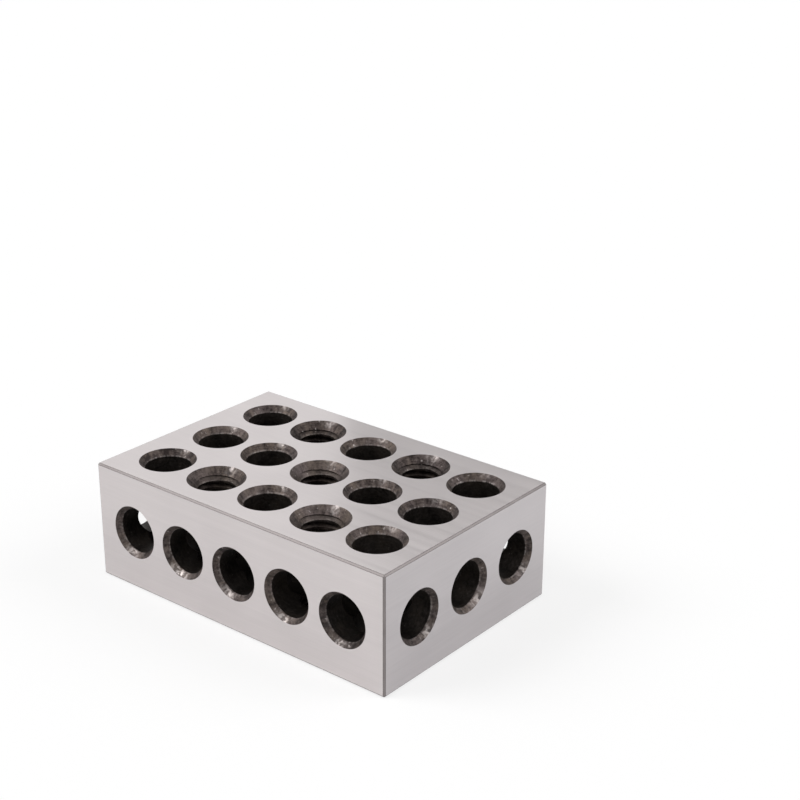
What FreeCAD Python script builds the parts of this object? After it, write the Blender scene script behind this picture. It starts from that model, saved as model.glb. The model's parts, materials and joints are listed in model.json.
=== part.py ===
"""Machinist's setup block ("1-2-3 block"): one hardened and ground steel block
of 3 x 2 x 1 inches, drilled right through on all three axes.

Frame: millimetres, +Z up. The origin is the centre of the bottom face,
+X runs along the length and +Y across the width.

The bores stand on one grid of columns and rows, so that every bore across the
width or along the length meets the upright bores at mid-height. Five of the
upright bores are tapped 3/8-16 UNC; the block holds them at tap drill size.
"""
import FreeCAD, Part
import math
import os

# Block: 3 x 2 x 1 in
LENGTH = 76.2
WIDTH = 50.8
HEIGHT = 25.4
EDGE_CHAMFER = 0.35         # leg of the break ground on all twelve edges

# Grid of bores, centred on the block
COLUMNS = 5                 # along X
ROWS = 3                    # along Y
END_MARGIN = 10.16          # outer column's axes to the end face, 0.4 in
SIDE_MARGIN = 10.16         # outer row's axes to the side face, 0.4 in

# Bores
PLAIN_DIA = 9.525           # plain through bore, 3/8 in
TAP_DRILL_DIA = 7.94        # 3/8-16 UNC before tapping, 5/16 in
TAPPED_RING = 1             # grid steps from the centre bore to the tapped corners

# Countersinks, one at each end of every bore
COUNTERSINK_ANGLE = 82.0    # included angle, degrees
PLAIN_SINK_DIA = 11.8       # upright plain bores
TAPPED_SINK_DIA = 12.0      # upright tapped bores
EDGE_SINK_DIA = 11.4        # bores that open in the narrow faces

# How far a cutting tool runs out beyond the face that it enters
TOOL_OVERRUN = 1.0


def grid(count, size, margin):
    """Positions of `count` axes, centred, the outer ones `margin` inside `size`."""
    span = size - 2 * margin
    if count == 1:
        return [0.0]
    return [-span / 2 + span * i / (count - 1) for i in range(count)]


def is_tapped(column, row):
    """The centre bore and the four on its diagonals take the thread."""
    from_centre = (abs(column - (COLUMNS - 1) / 2), abs(row - (ROWS - 1) / 2))
    return from_centre in ((0, 0), (TAPPED_RING, TAPPED_RING))


def make_blank():
    """Ground block with every edge broken."""
    corner = FreeCAD.Vector(-LENGTH / 2, -WIDTH / 2, 0)
    blank = Part.makeBox(LENGTH, WIDTH, HEIGHT, corner)
    return blank.makeChamfer(EDGE_CHAMFER, blank.Edges)


def make_bore_tool(span, bore_dia, sink_dia):
    """Through bore of length `span` with a countersink at each end.

    Drawn as a half profile in the XZ plane and revolved, centred on the origin
    with its axis along Z. The cones run on past both faces.
    """
    slope = math.tan(math.radians(COUNTERSINK_ANGLE / 2))
    sink_depth = (sink_dia - bore_dia) / 2 / slope
    end = span / 2 + TOOL_OVERRUN
    mouth = sink_dia / 2 + TOOL_OVERRUN * slope
    neck = span / 2 - sink_depth
    half_profile = [
        (0, -end), (mouth, -end), (bore_dia / 2, -neck),
        (bore_dia / 2, neck), (mouth, end), (0, end), (0, -end),
    ]
    wire = Part.makePolygon([FreeCAD.Vector(r, 0, z) for r, z in half_profile])
    return Part.Face(wire).revolve(
        FreeCAD.Vector(0, 0, 0), FreeCAD.Vector(0, 0, 1), 360)


def place(tool, centre, direction):
    """Copy of `tool` with its axis turned from +Z to `direction`."""
    copy = tool.copy()
    turn = FreeCAD.Rotation(FreeCAD.Vector(0, 0, 1), direction)
    copy.Placement = FreeCAD.Placement(centre, turn)
    return copy


def make_bore_tools():
    """One tool for each bore of the lattice, all centred at mid-height."""
    columns = grid(COLUMNS, LENGTH, END_MARGIN)
    rows = grid(ROWS, WIDTH, SIDE_MARGIN)
    middle = HEIGHT / 2
    upright = {
        True: make_bore_tool(HEIGHT, TAP_DRILL_DIA, TAPPED_SINK_DIA),
        False: make_bore_tool(HEIGHT, PLAIN_DIA, PLAIN_SINK_DIA),
    }
    across = make_bore_tool(WIDTH, PLAIN_DIA, EDGE_SINK_DIA)
    along = make_bore_tool(LENGTH, PLAIN_DIA, EDGE_SINK_DIA)

    tools = []
    for i, x in enumerate(columns):
        for j, y in enumerate(rows):
            tools.append(place(upright[is_tapped(i, j)],
                               FreeCAD.Vector(x, y, middle), FreeCAD.Vector(0, 0, 1)))
    for x in columns:
        tools.append(place(across, FreeCAD.Vector(x, 0, middle), FreeCAD.Vector(0, 1, 0)))
    for y in rows:
        tools.append(place(along, FreeCAD.Vector(0, y, middle), FreeCAD.Vector(1, 0, 0)))
    return tools


def make_setup_block():
    block = make_blank()
    for tool in make_bore_tools():
        block = block.cut(tool)
    return block


def main():
    os.makedirs("parts", exist_ok=True)
    block = make_setup_block()
    solid = block.Solids[0]
    print("solids", len(block.Solids), "valid", solid.isValid(),
          "volume_mm3", round(solid.Volume, 2), "faces", len(solid.Faces))
    solid.exportStep("parts/setup_block.step")


main()
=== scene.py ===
"""Looks of the machinist's setup block: a ground steel block with a lattice of
countersunk bores, five of them threaded, on a white table under soft light."""
import json
import math
import random

import bmesh
import bpy
import numpy as np
from mathutils import Matrix, Vector


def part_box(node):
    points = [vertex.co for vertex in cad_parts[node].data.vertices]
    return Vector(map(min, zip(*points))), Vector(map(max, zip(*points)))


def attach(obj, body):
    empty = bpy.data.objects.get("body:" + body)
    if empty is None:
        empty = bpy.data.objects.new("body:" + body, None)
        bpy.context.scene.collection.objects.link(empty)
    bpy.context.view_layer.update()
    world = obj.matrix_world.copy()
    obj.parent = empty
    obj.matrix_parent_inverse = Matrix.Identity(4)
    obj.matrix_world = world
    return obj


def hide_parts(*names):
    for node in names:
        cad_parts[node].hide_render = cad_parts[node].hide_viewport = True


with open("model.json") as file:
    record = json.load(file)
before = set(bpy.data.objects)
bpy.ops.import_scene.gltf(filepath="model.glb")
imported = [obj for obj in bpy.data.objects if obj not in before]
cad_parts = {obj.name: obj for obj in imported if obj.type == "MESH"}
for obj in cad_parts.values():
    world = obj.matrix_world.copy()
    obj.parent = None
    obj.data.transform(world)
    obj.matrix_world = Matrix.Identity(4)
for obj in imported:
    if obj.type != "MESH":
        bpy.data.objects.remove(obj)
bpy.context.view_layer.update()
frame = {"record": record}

NODE = "setup_block"
MM = 0.001                      # the mesh is built in millimetres, then scaled

# Block
EDGE_BREAK = 0.35               # leg of the chamfer on every edge
EDGE_SOFTENING = 0.05           # stoned corners of that chamfer

# Bores: places, radii and lengths come from the frame's mounts
SINK_HALF_ANGLE = math.radians(41)
OVERRUN = 1.0                   # cutters run past the faces by this much
FACETS = 96                     # facets round a bore
SINK_RINGS = 10                 # mesh rings down a countersink
NECK_ROUNDING = 0.35            # radius where the countersink runs into the bore
NECK_RINGS = 3
MOUTH_TIP = 0.6                 # small end of a tapped bore's cutter, share of its radius

# 3/8-16 UNC thread
THREAD_MAJOR_RADIUS = 9.525 / 2
THREAD_PITCH = 25.4 / 16
THREAD_FLANK = math.radians(30)
THREAD_ROOT_FLAT = THREAD_PITCH / 8
THREAD_START = (135, 185)       # degrees round the bore, picked for each hole

# Marks that the countersinking cutter leaves on the cone, and the painted glints and painted light
# laid over them
CHATTER_DEPTH = (0.008, 0.022)
CHATTER_LOBES = (9, 17)
CHATTER_TWIST = (-3, 3)         # radians from neck to rim
RING_DEPTH = 0.010
RINGS = (3, 5)
LEAD_IN_DEPTH = (0.05, 0.26)    # where the cutter feeds in, at one side of the hole
LEAD_IN_WIDTH = (0.08, 0.13)    # its half width round the cone, radians
LEAD_IN_SCATTER = 7             # degrees either way
# By the bore's axis X, Y or Z
LEAD_IN_SIDE = (-57, -162, 105)     # side of the hole, in degrees round that axis; the painted glint sits there too
LEAD_IN_SPREAD = (2.6, 3.0, 1.6)    # width of the lighter patch round it: partly wear at the feed mark, partly a painted glint
LEAD_IN_FADE = (0.3, 0.3, 2.0)      # how fast that painted glint fades from rim to neck
CONE_LIGHT_LIFT = (0.04, 0.03, 0.0)         # painted light: the cones of holes in the end and side faces made lighter all over


# ---------------------------------------------------------------- geometry

def read_bores():
    """Each bore's place and sizes in millimetres, from the frame's round mounts."""
    low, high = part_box(NODE)
    size = (high - low) / MM
    found = []
    for mount in frame["record"]["mounts"]:
        if mount["kind"] not in ("bore", "threaded_hole"):
            continue
        along = max(range(3), key=lambda n: abs(mount["axis"][n]))
        radius, length = mount["dims"]["r_mm"], mount["dims"]["length_mm"]
        half = size[along] / 2
        neck = length / 2
        found.append({
            "name": mount["name"],
            "along": along,
            "centre": np.array(mount["pos_m"]) / MM,
            "radius": radius,
            "half": half,
            "neck": neck,
            "sink": radius + (half - neck) * math.tan(SINK_HALF_ANGLE),
            "threaded": mount["kind"] == "threaded_hole",
        })
    return found


def to_row(points, bore):
    """Points drawn round the local Z axis, turned onto the bore's axis in the row frame."""
    n = bore["along"]
    turned = np.empty_like(points)
    turned[:, (n + 1) % 3] = points[:, 0]
    turned[:, (n + 2) % 3] = points[:, 1]
    turned[:, n] = points[:, 2]
    return turned + bore["centre"]


def new_object(name, points, faces):
    mesh = bpy.data.meshes.new(name)
    mesh.from_pydata([tuple(p) for p in points], [], faces)
    mesh.update()
    piece = bpy.data.objects.new(name, mesh)
    bpy.context.scene.collection.objects.link(piece)
    return piece


def lathed(rows):
    """Closed turned solid. rows is [(z, radii round the circle)], from low to high."""
    angle = np.arange(FACETS) * 2 * math.pi / FACETS
    points, faces = [], []
    for z, radii in rows:
        ring = np.column_stack([radii * np.cos(angle), radii * np.sin(angle),
                                np.full(FACETS, z)])
        points.append(ring)
    for k in range(len(rows) - 1):
        for j in range(FACETS):
            i = (j + 1) % FACETS
            faces.append((k * FACETS + j, k * FACETS + i,
                          (k + 1) * FACETS + i, (k + 1) * FACETS + j))
    last = (len(rows) - 1) * FACETS
    faces.append(tuple(reversed(range(FACETS))))
    faces.append(tuple(range(last, last + FACETS)))
    return np.vstack(points), faces


def lead_in(bore, number, side):
    """Where one countersink's cutter fed in, and how deep: (angle, width, depth)."""
    rng = random.Random(100 * number + side)
    scatter = rng.uniform(-LEAD_IN_SCATTER, LEAD_IN_SCATTER)
    angle = math.radians(LEAD_IN_SIDE[bore["along"]] + scatter)
    return angle, rng.uniform(*LEAD_IN_WIDTH), rng.uniform(*LEAD_IN_DEPTH)


def bell(angle, middle, width):
    """1 at the middle angle, fading to 0 over about its width."""
    away = (angle - middle + math.pi) % (2 * math.pi) - math.pi
    return np.exp(-(away / width) ** 2)


def tool_marks(bore, number, side):
    """Radius change over a countersink: f(angle, share of the depth from neck to rim)."""
    rng = random.Random(1000 + 100 * number + side)
    depth = rng.uniform(*CHATTER_DEPTH)
    lobes = rng.randint(*CHATTER_LOBES)
    twist, phase = rng.uniform(*CHATTER_TWIST), rng.uniform(0, 2 * math.pi)
    rings = rng.uniform(*RINGS)
    middle, width, lead_depth = lead_in(bore, number, side)

    def change(angle, share):
        waves = np.sin(lobes * angle + phase + twist * share)
        ripple = RING_DEPTH * math.sin(2 * math.pi * rings * share)
        fade = min(1.0, 4 * share) * min(1.0, 4 * (1 - share) + 0.3)
        return fade * (depth * waves + ripple + lead_depth * bell(angle, middle, width))

    return change


def sink_rows(bore, number, side):
    """Rows of one countersink cone, from just inside the neck to past the face."""
    angle = np.arange(FACETS) * 2 * math.pi / FACETS
    slope = math.tan(SINK_HALF_ANGLE)
    marks = tool_marks(bore, number, side)
    depth = bore["half"] - bore["neck"]
    tangent = NECK_ROUNDING * math.tan(SINK_HALF_ANGLE / 2)
    rows = []
    for k in range(NECK_RINGS):
        turn = SINK_HALF_ANGLE * k / NECK_RINGS
        z = bore["neck"] - tangent + NECK_ROUNDING * math.sin(turn)
        radius = bore["radius"] + NECK_ROUNDING * (1 - math.cos(turn))
        rows.append((side * z, np.full(FACETS, radius)))
    start = tangent * math.cos(SINK_HALF_ANGLE) / depth
    for k in range(SINK_RINGS + 1):
        share = start + (1 - start) * k / SINK_RINGS
        z = bore["neck"] + depth * share
        radii = bore["radius"] + depth * share * slope + marks(angle, (share - start) / (1 - start))
        rows.append((side * z, radii))
    end = bore["half"] + OVERRUN
    rows.append((side * end, rows[-1][1] + OVERRUN * slope))
    return rows if side > 0 else rows[::-1]


def plain_cutter(bore, number):
    """Straight bore with a countersink at each end, as one turned solid."""
    points, faces = lathed(sink_rows(bore, number, -1) + sink_rows(bore, number, +1))
    return new_object(bore["name"], to_row(points, bore), faces)


def mouth_cutter(bore, number, side):
    """One countersink on its own: its cone goes on inside the bore, clear of the thread."""
    inner = MOUTH_TIP * bore["radius"]
    z = bore["neck"] - (bore["radius"] - inner) / math.tan(SINK_HALF_ANGLE)
    tip = [(side * z, np.full(FACETS, inner))]
    rows = sink_rows(bore, number, side)
    rows = rows[NECK_RINGS:] if side > 0 else rows[:-NECK_RINGS]
    points, faces = lathed(tip + rows if side > 0 else rows + tip)
    return new_object("mouth", to_row(points, bore), faces)


def thread_cutter(bore, number):
    """Right-hand 60 degree thread: one strip wound round the axis, closed at both ends.

    A turn has four rows, at the corners of the thread's profile, and each column is
    raised by its share of the pitch. The strip's far edge meets its near edge one
    turn up, so the first column is one turn longer than the rest.
    """
    flank = (THREAD_MAJOR_RADIUS - bore["radius"]) * math.tan(THREAD_FLANK)
    crest = THREAD_PITCH - 2 * flank - THREAD_ROOT_FLAT
    corners = [
        (0.0, bore["radius"]), (crest, bore["radius"]),
        (crest + flank, THREAD_MAJOR_RADIUS),
        (crest + flank + THREAD_ROOT_FLAT, THREAD_MAJOR_RADIUS),
    ]
    reach = bore["half"] + OVERRUN + THREAD_PITCH
    turns = math.ceil(2 * reach / THREAD_PITCH)
    rows = turns * len(corners)
    start = math.radians(random.Random(number).uniform(*THREAD_START))
    points, place = [], {}
    for j in range(FACETS):
        angle = start + 2 * math.pi * j / FACETS
        for k in range(rows + (len(corners) if j == 0 else 0)):
            turn, corner = divmod(k, len(corners))
            rise, radius = corners[corner]
            z = -reach + (turn + j / FACETS) * THREAD_PITCH + rise
            place[j, k] = len(points)
            points.append((radius * math.cos(angle), radius * math.sin(angle), z))

    def at(j, k):
        return place[j, k] if j < FACETS else place[0, k + len(corners)]

    faces = [(at(j, k), at(j + 1, k), at(j + 1, k + 1), at(j, k + 1))
             for j in range(FACETS) for k in range(rows - 1)]
    for k, top in ((0, False), (rows - 1, True)):
        loop = [at(j, k) for j in range(FACETS)]
        loop += [place[0, k + n] for n in range(len(corners), 0, -1)]
        centre = len(points)
        points.append((0.0, 0.0, np.mean([points[p][2] for p in loop])))
        for a, b in zip(loop, loop[1:] + loop[:1]):
            faces.append((centre, a, b) if top else (centre, b, a))
    return new_object(bore["name"], to_row(np.array(points), bore), faces)


def make_blank():
    """The block before it is drilled, with its edges broken and softened."""
    low, high = (np.array(corner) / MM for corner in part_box(NODE))
    form = bmesh.new()
    bmesh.ops.create_cube(form, size=1.0)
    for vertex in form.verts:
        vertex.co = Vector((np.array(vertex.co) + 0.5) * (high - low) + low)
    for offset, segments in ((EDGE_BREAK, 1), (EDGE_SOFTENING, 2)):
        bmesh.ops.bevel(form, geom=form.edges[:], offset=offset, segments=segments,
                        profile=0.5, affect="EDGES", offset_type="OFFSET")
    mesh = bpy.data.meshes.new("blank")
    form.to_mesh(mesh)
    form.free()
    piece = bpy.data.objects.new("block", mesh)
    bpy.context.scene.collection.objects.link(piece)
    return piece


def drill(blank, bores):
    """Cuts every bore, countersink and thread out of the blank."""
    cutters = []
    for number, bore in enumerate(bores):
        if bore["threaded"]:
            cutters.append(thread_cutter(bore, number))
            cutters += [mouth_cutter(bore, number, side) for side in (-1, +1)]
        else:
            cutters.append(plain_cutter(bore, number))
    for cutter in cutters:
        cut = blank.modifiers.new("cut", "BOOLEAN")
        cut.operation, cut.solver, cut.object = "DIFFERENCE", "MANIFOLD", cutter
    graph = bpy.context.evaluated_depsgraph_get()
    mesh = bpy.data.meshes.new_from_object(blank.evaluated_get(graph))
    blank.modifiers.clear()
    blank.data = mesh
    for cutter in cutters:
        bpy.data.objects.remove(cutter)
    return blank


# ------------------------------------------------- which surface is which

GROUND, EDGE, SINK, WALL, THREAD = range(5)
SMOOTH_BELOW = math.radians(24)     # faces that meet at less than this shade as one

# Limits for telling the faces apart, in millimetres where they are lengths
ON_BOX = 0.002                      # a ground face lies this near the box
SQUARE_ON = 0.999                   # and its normal has this much along one axis
CHAMFER_SLACK = 0.01
RIM_SLACK = 0.2                     # a bore's own faces end this far past its rim
CONE_SLACK = 0.3                    # a marked countersink stays this near its cone
THREAD_SLACK = 0.1
FACING_WEIGHT = 0.3                 # cost of a face that doesn't look at the bore's axis
FAR_OFF = 100                       # cost of a face outside the bore's rim

NECK_HIGHLIGHT = 0.25                 # painted highlight where the countersink meets the bore
NECK_HIGHLIGHT_WIDTH = 0.16


def local_to(bore, points):
    """Row frame points as (across, across, along) the bore, in millimetres."""
    n = bore["along"]
    return (points - bore["centre"])[:, [(n + 1) % 3, (n + 2) % 3, n]]


def face_geometry(mesh):
    """Centre and normal of each face."""
    count = len(mesh.polygons)
    centres, normals = np.empty(count * 3), np.empty(count * 3)
    mesh.polygons.foreach_get("center", centres)
    mesh.polygons.foreach_get("normal", normals)
    return centres.reshape(-1, 3), normals.reshape(-1, 3)


def corner_geometry(mesh):
    """Each face corner's face and place."""
    loops = np.empty(len(mesh.polygons), int)
    mesh.polygons.foreach_get("loop_total", loops)
    vertex_of_loop = np.empty(len(mesh.loops), int)
    mesh.loops.foreach_get("vertex_index", vertex_of_loop)
    points = np.empty(len(mesh.vertices) * 3)
    mesh.vertices.foreach_get("co", points)
    return np.repeat(np.arange(len(loops)), loops), points.reshape(-1, 3)[vertex_of_loop]


def past_neck(bore, place):
    """How far places in the bore lie past its neck, towards the nearer face."""
    return np.abs(place[:, 2]) - bore["neck"]


def nearest_bore(centres, normals, bores):
    """For each face, the bore whose surface it fits best."""
    best, owner = np.full(len(centres), np.inf), np.zeros(len(centres), int)
    for number, bore in enumerate(bores):
        place = local_to(bore, centres)
        facing = local_to({**bore, "centre": 0}, normals)
        rho = np.hypot(place[:, 0], place[:, 1])
        rise = np.maximum(past_neck(bore, place), 0)
        wanted = bore["radius"] + rise * math.tan(SINK_HALF_ANGLE)
        slack = THREAD_MAJOR_RADIUS - bore["radius"] if bore["threaded"] else 0
        off = np.maximum(np.maximum(wanted - rho, rho - wanted - slack), 0)
        inward = -(facing[:, :2] * place[:, :2]).sum(axis=1) / np.maximum(rho, 1e-6)
        outside = rho > bore["sink"] + RIM_SLACK
        cost = off + FACING_WEIGHT * (1 - inward) + outside * FAR_OFF
        closer = cost < best
        best[closer], owner[closer] = cost[closer], number
    return owner


def on_cone(bore, place):
    """Whether faces centred at these places in the bore belong to a countersink."""
    rho = np.hypot(place[:, 0], place[:, 1])
    cone = bore["radius"] + past_neck(bore, place) * math.tan(SINK_HALF_ANGLE)
    tangent = 0 if bore["threaded"] else NECK_ROUNDING * math.tan(SINK_HALF_ANGLE / 2)
    sunk = (past_neck(bore, place) > -tangent) & (np.abs(rho - cone) < CONE_SLACK)
    if bore["threaded"]:
        sunk &= rho > THREAD_MAJOR_RADIUS - THREAD_SLACK
    return sunk


def glint_and_wear_map(bore, number, place):
    """How much of the painted highlight colour each place in the bore gets: a lighter patch at the
    cutter's feed mark that is partly wear and partly a painted glint, a painted highlight along the
    neck, and painted light over the whole cone.
    """
    along = bore["along"]
    angle = np.arctan2(place[:, 1], place[:, 0])
    rise = np.clip(past_neck(bore, place) / (bore["half"] - bore["neck"]), 0, 1)
    bright = np.zeros(len(place))
    for side in (-1, +1):
        middle, width, depth = lead_in(bore, number, side)
        shine = bell(angle, middle, LEAD_IN_SPREAD[along] * width)
        shine *= rise ** LEAD_IN_FADE[along] * (0.5 + 0.5 * depth / LEAD_IN_DEPTH[1])
        bright = np.where(place[:, 2] * side > 0, shine, bright)
    neck = NECK_HIGHLIGHT * np.exp(-(past_neck(bore, place) / NECK_HIGHLIGHT_WIDTH) ** 2)
    return np.maximum(np.maximum(bright, neck), CONE_LIGHT_LIFT[along])


def sort_faces(piece, bores):
    """Gives each face its material, and each corner its place in its own bore."""
    mesh = piece.data
    centres, normals = face_geometry(mesh)
    face_of_corner, corners = corner_geometry(mesh)
    low, high = (np.array(corner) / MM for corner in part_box(NODE))

    gap = np.minimum(centres - low, high - centres)
    flat = ((gap < ON_BOX) & (np.abs(normals) > SQUARE_ON)).any(axis=1)
    edge = ~flat & ((gap < EDGE_BREAK + CHAMFER_SLACK).sum(axis=1) >= 2)
    owner = nearest_bore(centres, normals, bores)

    kind = np.full(len(centres), WALL)
    seed = np.zeros(len(centres))
    place_in_bore = np.zeros((len(corners), 3))
    bright = np.zeros(len(corners))
    for number, bore in enumerate(bores):
        mine = (owner == number) & ~flat & ~edge
        place = local_to(bore, centres[mine])
        kind[mine] = np.where(on_cone(bore, place), SINK, THREAD if bore["threaded"] else WALL)
        seed[mine] = 2 * number + (place[:, 2] > 0)
        mine = mine[face_of_corner]
        place = local_to(bore, corners[mine])
        # painted glints and highlights, partly wear at the feed marks, kept for the shader
        bright[mine] = glint_and_wear_map(bore, number, place)
        place[:, 2] = bore["half"] - np.abs(place[:, 2])
        place_in_bore[mine] = place
    kind[flat], kind[edge] = GROUND, EDGE

    for name, sort, domain, field, values in (
        ("bore_place", "FLOAT_VECTOR", "CORNER", "vector", place_in_bore.ravel()),
        ("painted_glint_wear", "FLOAT", "CORNER", "value", bright),
        ("bore_seed", "FLOAT", "FACE", "value", seed),
    ):
        mesh.attributes.new(name, sort, domain).data.foreach_set(field, values)
    mesh.polygons.foreach_set("material_index", kind.astype(np.int32))


def finish_mesh(piece):
    """Metres, smooth shading, and sharp edges where surfaces meet.

    The ground faces keep sharp borders, so that they shade as true planes.
    """
    mesh = piece.data
    mesh.transform(Matrix.Scale(MM, 4))
    form = bmesh.new()
    form.from_mesh(mesh)
    for face in form.faces:
        face.smooth = True
    for edge in form.edges:
        kinds = {face.material_index for face in edge.link_faces}
        edge.smooth = GROUND not in kinds and edge.calc_face_angle() < SMOOTH_BELOW
    form.to_mesh(mesh)
    form.free()


# ---------------------------------------------------------------- materials

def new_material(name):
    made = bpy.data.materials.new(name)
    made.use_nodes = True
    return made, made.node_tree, made.node_tree.nodes["Principled BSDF"]


def put(tree, kind, inputs=None, **settings):
    """Adds a node; inputs maps sockets to values or to other nodes' outputs."""
    node = tree.nodes.new("ShaderNode" + kind)
    for key, value in settings.items():
        setattr(node, key, value)
    for socket, value in (inputs or {}).items():
        if isinstance(value, bpy.types.NodeSocket):
            tree.links.new(value, node.inputs[socket])
        else:
            node.inputs[socket].default_value = value
    return node


def math_node(tree, operation, a, b=0.0, clamp=False):
    return put(tree, "Math", {0: a, 1: b}, operation=operation, use_clamp=clamp).outputs[0]


def scaled(tree, vector, by):
    return put(tree, "VectorMath", {0: vector, 1: by}, operation="MULTIPLY").outputs[0]


def noise(tree, vector, detail=3.0, rough=0.5, distortion=0.0):
    node = put(tree, "TexNoise", {"Vector": vector, "Scale": 1.0, "Detail": detail,
                                  "Roughness": rough, "Distortion": distortion})
    return node.outputs["Fac"]


def ramp(tree, factor, *stops):
    """Colour ramp from (position, colour) stops."""
    node = put(tree, "ValToRGB", {"Fac": factor})
    elements = node.color_ramp.elements
    while len(elements) < len(stops):
        elements.new(0.5)
    for element, (position, colour) in zip(elements, stops):
        element.position, element.color = position, (*colour, 1.0)
    return node.outputs["Color"]


def spread(tree, value, low, high):
    """A 0 to 1 value stretched to low..high."""
    return put(tree, "MapRange", {"Value": value, "From Min": 0.3, "From Max": 0.7,
                                  "To Min": low, "To Max": high}).outputs[0]


def bump(tree, height, distance, strength=1.0, normal=None):
    inputs = {"Height": height, "Distance": distance, "Strength": strength}
    if normal is not None:
        inputs["Normal"] = normal
    return put(tree, "Bump", inputs).outputs["Normal"]


# Texture scales, per metre: along and across the grinding lines, and for the clouding
LINE_LENGTHWISE, LINE_CROSSWISE = 70.0, 5200.0
BAND_SHARE = 0.16               # of those scales, for broad bands
CLOUD_SCALE = 55.0


def ground_steel():
    """Surface-ground steel: fine lines along the length, cross-wise on the end faces, which are
    coloured darker as painted shade.
    """
    made, tree, shader = new_material("ground_steel")
    place = put(tree, "TexCoord").outputs["Object"]
    facing = put(tree, "SeparateXYZ", {0: put(tree, "NewGeometry").outputs["Normal"]})
    on_end = math_node(tree, "GREATER_THAN",
                       math_node(tree, "ABSOLUTE", facing.outputs["X"]), 0.7)
    along = put(tree, "Mix", {0: on_end,
                              4: (LINE_LENGTHWISE, LINE_CROSSWISE, LINE_CROSSWISE),
                              5: (LINE_CROSSWISE, LINE_LENGTHWISE, LINE_CROSSWISE)},
                data_type="VECTOR").outputs[1]
    lines = noise(tree, scaled(tree, place, along), detail=4.0, rough=0.65)
    bands = noise(tree, scaled(tree, along, scaled(tree, place, (BAND_SHARE,) * 3)),
                  detail=2.0)
    cloud = noise(tree, scaled(tree, place, (CLOUD_SCALE,) * 3), detail=2.0)
    tone = math_node(tree, "ADD", math_node(tree, "MULTIPLY", lines, 0.35),
                     math_node(tree, "MULTIPLY", bands, 0.30))
    tone = math_node(tree, "ADD", tone, math_node(tree, "MULTIPLY", cloud, 0.35))
    sides = ramp(tree, tone, (0.35, (0.590, 0.549, 0.548)), (0.65, (0.662, 0.619, 0.617)))
    # the end faces get a darker copy of the same steel colour: painted shade
    shaded_ends = ramp(tree, tone, (0.35, (0.500, 0.472, 0.480)), (0.65, (0.570, 0.540, 0.548)))
    colour = put(tree, "Mix", {0: on_end, 6: sides, 7: shaded_ends}, data_type="RGBA").outputs[2]
    tree.links.new(colour, shader.inputs["Base Color"])
    shader.inputs["Metallic"].default_value = 1.0
    tree.links.new(spread(tree, bands, 0.30, 0.42), shader.inputs["Roughness"])
    tree.links.new(bump(tree, lines, 0.000004), shader.inputs["Normal"])
    return made


STONE_GRAIN, STONE_PATCH = 1800.0, 160.0    # texture scales, per metre


def broken_edge():
    """Chamfers: stoned by hand, rougher and a little darker than the faces."""
    made, tree, shader = new_material("broken_edge")
    place = put(tree, "TexCoord").outputs["Object"]
    grain = noise(tree, scaled(tree, place, (STONE_GRAIN,) * 3), detail=3.0)
    patches = noise(tree, scaled(tree, place, (STONE_PATCH,) * 3), detail=3.0)
    colour = ramp(tree, patches, (0.3, (0.19, 0.17, 0.168)), (0.7, (0.30, 0.275, 0.272)))
    tree.links.new(colour, shader.inputs["Base Color"])
    shader.inputs["Metallic"].default_value = 1.0
    tree.links.new(spread(tree, patches, 0.5, 0.65), shader.inputs["Roughness"])
    tree.links.new(bump(tree, grain, 0.00001), shader.inputs["Normal"])
    return made


SEED_STEP = 17.3                # moves the pattern on from one bore end to the next


def polar(tree, place, round_scale, radial_scale, depth_scale):
    """Texture place that runs round a bore: stretched along the tool's path."""
    flat = put(tree, "VectorMath", {0: place, 1: (1.0, 1.0, 0.0)}, operation="MULTIPLY")
    radius = put(tree, "VectorMath", {0: flat.outputs[0]}, operation="LENGTH").outputs["Value"]
    unit = put(tree, "VectorMath", {0: flat.outputs[0]}, operation="NORMALIZE").outputs[0]
    turn = put(tree, "SeparateXYZ", {0: scaled(tree, unit, (round_scale,) * 3)})
    depth = put(tree, "SeparateXYZ", {0: place}).outputs["Z"]
    reach = math_node(tree, "ADD", math_node(tree, "MULTIPLY", radius, radial_scale),
                      math_node(tree, "MULTIPLY", depth, depth_scale))
    seed = put(tree, "Attribute", attribute_name="bore_seed").outputs["Fac"]
    reach = math_node(tree, "ADD", reach, math_node(tree, "MULTIPLY", seed, SEED_STEP))
    return put(tree, "CombineXYZ", {"X": turn.outputs["X"], "Y": turn.outputs["Y"],
                                    "Z": reach}).outputs[0]


PIT_SCALE = 2600.0              # per metre
TONE_SHARES = (0.20, 0.18, 0.46, 0.16)      # streaks, flutes, patches and pits


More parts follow.
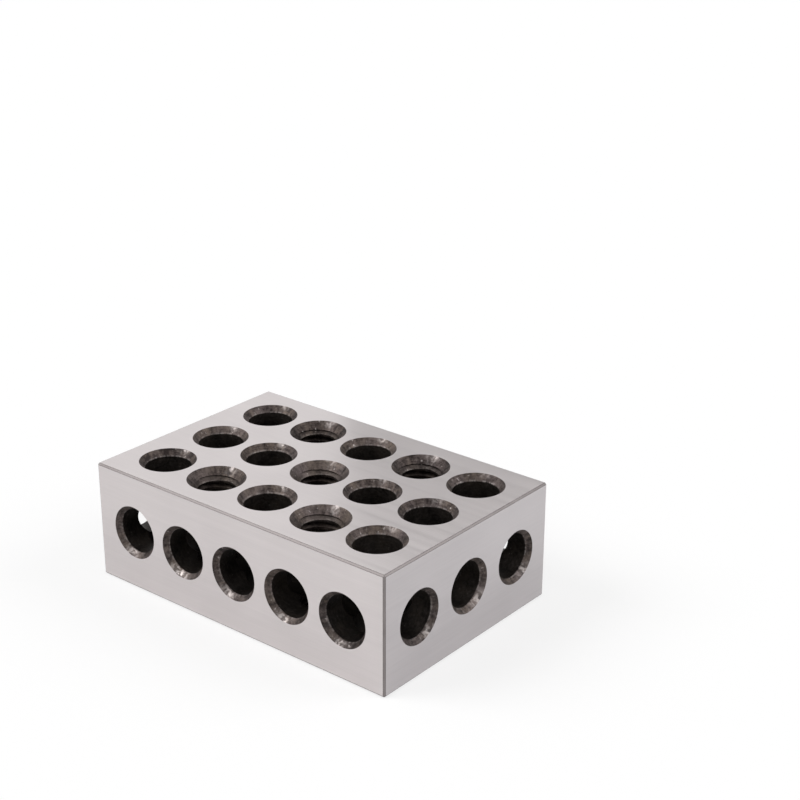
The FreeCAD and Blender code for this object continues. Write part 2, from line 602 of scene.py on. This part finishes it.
def cut_steel(name, dark, light, warm, shine, streaks, flutes, patches, roughness, relief):
    """Steel as a drill, countersink or tap leaves it, darkened by heat treatment.

    Streaks run round the bore and flutes across them, over blotches of scale and small pits.
    Painted glints are scattered over it, and painted highlights are laid where the mesh asks for
    them, partly wear at the cutter's feed marks.
    """
    made, tree, shader = new_material(name)
    place = put(tree, "Attribute", attribute_name="bore_place").outputs["Vector"]
    seed = put(tree, "Attribute", attribute_name="bore_seed").outputs["Fac"]
    bright = put(tree, "Attribute", attribute_name="painted_glint_wear").outputs["Fac"]
    solid = put(tree, "TexCoord").outputs["Object"]

    rings = noise(tree, polar(tree, place, *streaks), detail=3.0, rough=0.6)
    chatter = noise(tree, polar(tree, place, *flutes), detail=2.0, rough=0.5)
    blotches = noise(tree, polar(tree, place, *patches), detail=4.0, rough=0.65)
    grain = noise(tree, scaled(tree, solid, (PIT_SCALE,) * 3), detail=2.0, rough=0.6)
    own = put(tree, "TexWhiteNoise", {"W": seed}, noise_dimensions="1D").outputs["Value"]

    tone = 0.0
    for layer, share in zip((rings, chatter, blotches, grain), TONE_SHARES):
        tone = math_node(tree, "ADD", math_node(tree, "MULTIPLY", layer, share), tone)
    tone = math_node(tree, "ADD", tone,
                     math_node(tree, "MULTIPLY", math_node(tree, "SUBTRACT", own, 0.5), 0.08))
    cool_tint = ramp(tree, tone, (0.42, dark), (0.60, light))
    warm_tint = ramp(tree, tone, (0.42, dark), (0.60, warm))
    rust = noise(tree, polar(tree, place, 1.3, 0.5, 0.3), detail=1.0)
    colour = put(tree, "Mix", {0: spread(tree, rust, 0.0, 1.0), 6: cool_tint, 7: warm_tint},
                 data_type="RGBA").outputs[2]

    # painted glints: scattered flecks mixed toward the highlight colour
    flecks = noise(tree, polar(tree, place, 7.0, 4.0, 2.0), detail=2.0)
    sparkle = put(tree, "MapRange", {"Value": flecks, "From Min": 0.66, "From Max": 0.78,
                                     "To Max": 0.5}).outputs[0]
    patchy = put(tree, "MapRange", {"Value": flecks, "From Min": 0.44, "From Max": 0.60,
                                    "To Min": 0.15}).outputs[0]
    # painted highlights from the mesh, partly wear at the feed marks, broken up by the flecks
    glint_and_wear = math_node(tree, "MULTIPLY", bright, patchy)
    glint_and_wear = math_node(tree, "MAXIMUM", glint_and_wear, sparkle, clamp=True)
    colour = put(tree, "Mix", {0: glint_and_wear, 6: colour, 7: (*shine, 1.0)},
                 data_type="RGBA").outputs[2]
    tree.links.new(colour, shader.inputs["Base Color"])
    shader.inputs["Metallic"].default_value = 0.85
    dull = spread(tree, blotches, *roughness)
    dull = math_node(tree, "SUBTRACT", dull, math_node(tree, "MULTIPLY", glint_and_wear, 0.12))
    tree.links.new(dull, shader.inputs["Roughness"])
    pit_depth, groove_depth, flute_depth = relief
    surface = bump(tree, grain, pit_depth)
    surface = bump(tree, chatter, flute_depth, normal=surface)
    tree.links.new(bump(tree, rings, groove_depth, normal=surface), shader.inputs["Normal"])
    return made


# ---------------------------------------------------------------- the scene

EYE_WHITE = 0.7                 # share of the seen floor that is plain white, unshaded
MIRROR_WHITE = 0.4              # the same share in the steel's reflections


def white_table():
    """White floor that keeps the block's shadow; white to the eye and in reflections."""
    bpy.ops.mesh.primitive_plane_add(size=8.0, location=(0, 0, 0))
    floor = bpy.context.object
    floor.name = "floor"
    made, tree, shader = new_material("floor_white")
    path = put(tree, "LightPath")
    mirrored = math_node(tree, "MAXIMUM", path.outputs["Is Glossy Ray"],
                         path.outputs["Is Transmission Ray"])
    seen = math_node(tree, "MAXIMUM", path.outputs["Is Camera Ray"], mirrored)
    share = put(tree, "MapRange", {"Value": mirrored, "To Min": EYE_WHITE,
                                   "To Max": MIRROR_WHITE}).outputs[0]
    lit = put(tree, "BsdfDiffuse", {"Color": (0.80, 0.79, 0.79, 1.0)})
    pale = put(tree, "BsdfDiffuse", {"Color": (1.0, 1.0, 1.0, 1.0)})
    white = put(tree, "Emission", {"Color": (1.0, 1.0, 1.0, 1.0), "Strength": 1.0})
    seen_floor = put(tree, "MixShader", {0: share, 1: pale.outputs[0], 2: white.outputs[0]})
    surface = put(tree, "MixShader", {0: seen, 1: lit.outputs[0], 2: seen_floor.outputs[0]})
    tree.links.new(surface.outputs[0], tree.nodes["Material Output"].inputs["Surface"])
    tree.nodes.remove(shader)
    floor.data.materials.append(made)


# Grey card behind the block, seen only in reflections: it shades the far end of the top
CARD_EDGE = Vector((-31, 44, 0)) * MM      # foot of its left edge
CARD_ALONG = Vector((0.75, 0.66, 0))
CARD_WIDTH = 55 * MM
CARD_BOTTOM, CARD_TOP = 30 * MM, 90 * MM
CARD_GREY = 0.64


def grey_card():
    feet = CARD_EDGE, CARD_EDGE + CARD_ALONG * CARD_WIDTH
    low, high = Vector((0, 0, CARD_BOTTOM)), Vector((0, 0, CARD_TOP))
    card = new_object("card", [feet[0] + low, feet[1] + low, feet[1] + high, feet[0] + high],
                      [(0, 1, 2, 3)])
    made, tree, shader = new_material("card_grey")
    grey = put(tree, "Emission", {"Color": (CARD_GREY, CARD_GREY, CARD_GREY, 1.0)})
    tree.links.new(grey.outputs[0], tree.nodes["Material Output"].inputs["Surface"])
    tree.nodes.remove(shader)
    card.data.materials.append(made)
    card.visible_camera = card.visible_diffuse = card.visible_shadow = False


def world_light(level):
    world = bpy.data.worlds.new("studio")
    world.use_nodes = True
    bpy.context.scene.world = world
    tree = world.node_tree
    path = put(tree, "LightPath")
    seen = math_node(tree, "MAXIMUM", path.outputs["Is Camera Ray"],
                     path.outputs["Is Glossy Ray"])
    seen = math_node(tree, "MAXIMUM", seen, path.outputs["Is Transmission Ray"])
    strength = put(tree, "MapRange", {"Value": seen, "To Min": level, "To Max": 1.0})
    back = tree.nodes["Background"]
    back.inputs["Color"].default_value = (1.0, 1.0, 1.0, 1.0)
    tree.links.new(strength.outputs[0], back.inputs["Strength"])


def direction(azimuth, elevation):
    """Unit vector towards an azimuth, from -Y towards +X, and an elevation, in degrees."""
    a, e = math.radians(azimuth), math.radians(elevation)
    return Vector((math.sin(a) * math.cos(e), -math.cos(a) * math.cos(e), math.sin(e)))


def soft_lamp(name, azimuth, elevation, spread_angle, strength):
    """Distant soft lamp: the size of its disc in the sky sets how soft it is."""
    lamp = bpy.data.lights.new(name, "SUN")
    lamp.angle = math.radians(spread_angle)
    lamp.energy = strength
    stand = bpy.data.objects.new(name, lamp)
    bpy.context.scene.collection.objects.link(stand)
    stand.rotation_euler = direction(azimuth, elevation).to_track_quat("Z", "Y").to_euler()


# Camera, round the block's centre
CAMERA_AZIMUTH, CAMERA_ELEVATION = 42.15, 26.74
CAMERA_DISTANCE = 0.3449
CAMERA_LENS = 75.6
AIM_AZIMUTH, AIM_ELEVATION = 39.14, 22.38     # it looks a little past the block
CAMERA_ROLL = 0.2


def camera():
    view = bpy.data.cameras.new("camera")
    view.lens = CAMERA_LENS
    view.clip_start, view.clip_end = 0.01, 50
    stand = bpy.data.objects.new("camera", view)
    bpy.context.scene.collection.objects.link(stand)
    centre = sum(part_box(NODE), Vector()) / 2
    stand.location = centre + direction(CAMERA_AZIMUTH, CAMERA_ELEVATION) * CAMERA_DISTANCE
    back = direction(AIM_AZIMUTH, AIM_ELEVATION)
    level = back.to_track_quat("Z", "Y")
    roll = Matrix.Rotation(math.radians(CAMERA_ROLL), 4, "Z")
    stand.rotation_euler = (level.to_matrix().to_4x4() @ roll).to_euler()
    bpy.context.scene.camera = stand


bores = read_bores()
block = drill(make_blank(), bores)
block.data.materials.clear()
sort_faces(block, bores)
finish_mesh(block)
for surface in (
    ground_steel(),
    broken_edge(),
    cut_steel("countersink", dark=(0.022, 0.016, 0.015), light=(0.124, 0.100, 0.097),
              warm=(0.130, 0.102, 0.085), shine=(0.66, 0.60, 0.58), streaks=(2.6, 6.0, 0.0),
              flutes=(7.0, 0.9, 0.0), patches=(3.4, 1.6, 0.8), roughness=(0.46, 0.64),
              relief=(0.00003, 0.00003, 0.00004)),
    cut_steel("bore_wall", dark=(0.009, 0.007, 0.006), light=(0.032, 0.026, 0.023),
              warm=(0.036, 0.028, 0.022), shine=(0.16, 0.14, 0.13), streaks=(1.2, 0.0, 6.0),
              flutes=(3.0, 0.0, 0.5), patches=(1.6, 0.4, 0.3), roughness=(0.50, 0.64),
              relief=(0.00001, 0.00002, 0.00001)),
    cut_steel("thread", dark=(0.018, 0.013, 0.012), light=(0.080, 0.064, 0.060),
              warm=(0.085, 0.067, 0.055), shine=(0.30, 0.27, 0.25), streaks=(1.6, 3.0, 5.0),
              flutes=(4.0, 1.0, 1.0), patches=(2.2, 0.9, 0.6), roughness=(0.38, 0.54),
              relief=(0.00001, 0.00001, 0.00001)),
):
    block.data.materials.append(surface)
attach(block, "root")
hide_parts(NODE)

white_table()
grey_card()
world_light(level=0.55)
soft_lamp("key", azimuth=-48, elevation=42, spread_angle=34, strength=1.4)
soft_lamp("rim", azimuth=128, elevation=38, spread_angle=34, strength=0.8)
camera()
bpy.context.scene.view_settings.view_transform = "Standard"
